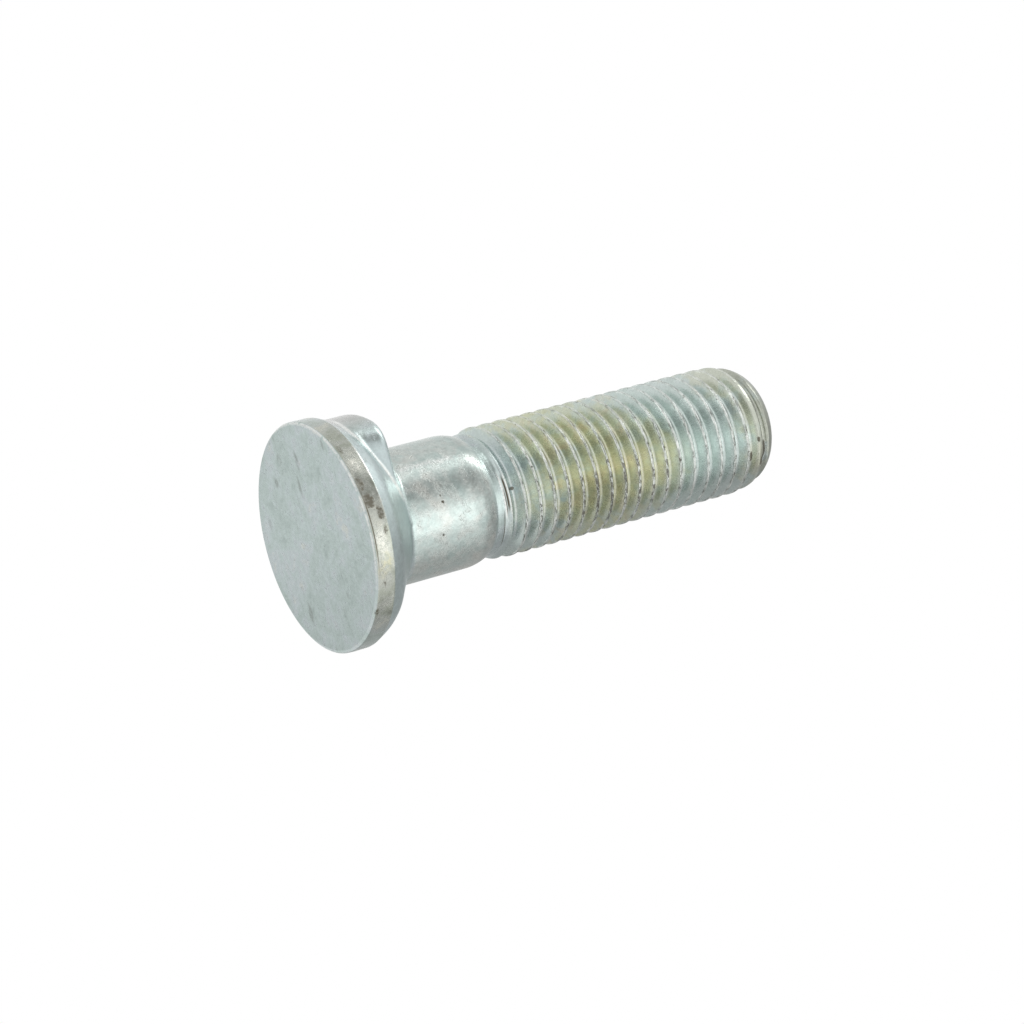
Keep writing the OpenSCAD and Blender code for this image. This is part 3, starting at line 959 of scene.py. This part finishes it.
# cards that only the zinc sees: direction from the bolt, distance, radius, tone, softness of the edge
cards = {
    "skyCard": ((-0.34, -0.94, 0.00), 0.80, 1.30, 0.79, 0.50),
    "shadeCard": ((0.79, -0.51, 0.36), 0.75, 0.32, 0.46, 0.50),
    "underCard": ((-0.40, 0.50, 0.77), 0.50, 0.80, 0.46, 0.75),
    "tableCard": ((-0.54, 0.81, -0.20), 0.50, 0.75, 0.44, 0.60),
}
# softboxes: direction, distance, width and height, radiance
lamps = {
    "windowSoftbox": ((0.78, 0.37, 0.50), 0.6, (0.34, 0.20), 0.70),
    "highSoftbox": ((0.23, -0.60, 0.766), 0.7, (0.15, 0.44), 2.6),
}
boltMiddle = Vector((0.0, 0.0, 0.035))


def softbox(name, direction, distance, size, radiance):
    data = bpy.data.lights.new(name, "AREA")
    data.shape = "RECTANGLE"
    data.size, data.size_y = size
    data.energy = radiance * math.pi * size[0] * size[1]
    lamp = bpy.data.objects.new(name, data)
    way = Vector(direction).normalized()
    lamp.location = boltMiddle + way * distance
    lamp.rotation_euler = way.to_track_quat("Z", "Y").to_euler()
    scene.collection.objects.link(lamp)


def discMesh(name, radius, segments=64):
    bm = bmesh.new()
    bmesh.ops.create_circle(bm, cap_ends=True, segments=segments, radius=radius)
    mesh = bpy.data.meshes.new(name)
    bm.to_mesh(mesh)
    bm.free()
    return mesh


def fadeOut(make, radius, softness):
    # 1 in the middle of a disc and 0 at its edge
    spot = make.add("ShaderNodeTexCoord").outputs["Object"]
    return make.smooth(make.vector("LENGTH", spot), radius, radius * (1 - softness))


def greyCard(name, direction, distance, radius, tone, softness):
    mesh = discMesh(name, radius)
    card = bpy.data.objects.new(name, mesh)
    way = Vector(direction).normalized()
    card.location = boltMiddle + way * distance
    card.rotation_euler = way.to_track_quat("Z", "Y").to_euler()
    scene.collection.objects.link(card)
    paper = bpy.data.materials.new(name)
    paper.use_nodes = True
    paper.node_tree.nodes.clear()
    make = TreeMaker(paper.node_tree)
    glow = make.feed(make.add("ShaderNodeEmission"), Color=(tone, tone, tone, 1.0), Strength=1.0)
    clear = make.add("ShaderNodeBsdfTransparent").outputs[0]
    faded = make.blend(fadeOut(make, radius, softness), clear, glow.outputs[0])
    make.put(make.add("ShaderNodeOutputMaterial").inputs[0], faded)
    mesh.materials.append(paper)
    card.visible_camera = False
    card.visible_diffuse = False
    card.visible_transmission = False
    card.visible_shadow = False


def paleFloor():
    # seen from above with the bolt's shadow on it; from below, where the photograph looks from, it is clear
    radius = studio["floorRadius"]
    mesh = discMesh("paleFloor", radius)
    floor = bpy.data.objects.new("paleFloor", mesh)
    floor.location = (0, 0, -studio["floorGap"])
    scene.collection.objects.link(floor)
    paint = bpy.data.materials.new("paleFloor")
    paint.use_nodes = True
    paint.node_tree.nodes.clear()
    make = TreeMaker(paint.node_tree)
    path = make.add("ShaderNodeLightPath").outputs
    matt = make.feed(make.add("ShaderNodeBsdfDiffuse"), Color=(*[studio["floorTone"]] * 3, 1.0))
    glow = make.feed(make.add("ShaderNodeEmission"), Color=(*[studio["floorInMetal"]] * 3, 1.0), Strength=1.0)
    clear = make.add("ShaderNodeBsdfTransparent").outputs[0]
    nearby = fadeOut(make, studio["mirroredRadius"], 0.4)
    above = make.lessOn(make.add("ShaderNodeNewGeometry").outputs["Backfacing"], 1.0)
    byCamera = make.blend(make.times(above, fadeOut(make, radius, 0.8)), clear, matt.outputs[0])
    byMetal = make.blend(nearby, clear, glow.outputs[0])
    seen = make.blend(path["Is Glossy Ray"], byCamera, byMetal)
    make.put(make.add("ShaderNodeOutputMaterial").inputs[0], seen)
    mesh.materials.append(paint)
    floor.visible_diffuse = False
    floor.visible_transmission = False
    floor.visible_shadow = False


def whiteRoom():
    world = bpy.data.worlds.new("whiteRoom")
    scene.world = world
    world.use_nodes = True
    make = TreeMaker(world.node_tree)
    path = make.add("ShaderNodeLightPath").outputs
    seen = make.math("MAXIMUM", path["Is Camera Ray"], path["Is Glossy Ray"])
    seen = make.math("MAXIMUM", seen, path["Is Transmission Ray"])
    strength = make.math("MULTIPLY_ADD", seen, 1.0 - studio["fill"], studio["fill"])
    ground = world.node_tree.nodes["Background"]
    ground.inputs["Color"].default_value = (1, 1, 1, 1)
    make.put(ground.inputs["Strength"], strength)


whiteRoom()
paleFloor()
for name, values in lamps.items():
    softbox(name, *values)
for name, values in cards.items():
    greyCard(name, *values)
print("studio ready:", len(lamps), "lamps and", len(cards), "cards")

coat = zincMaterial()
bolt = zincBolt(coat)
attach(bolt, "root")
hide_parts("plough_bolt")
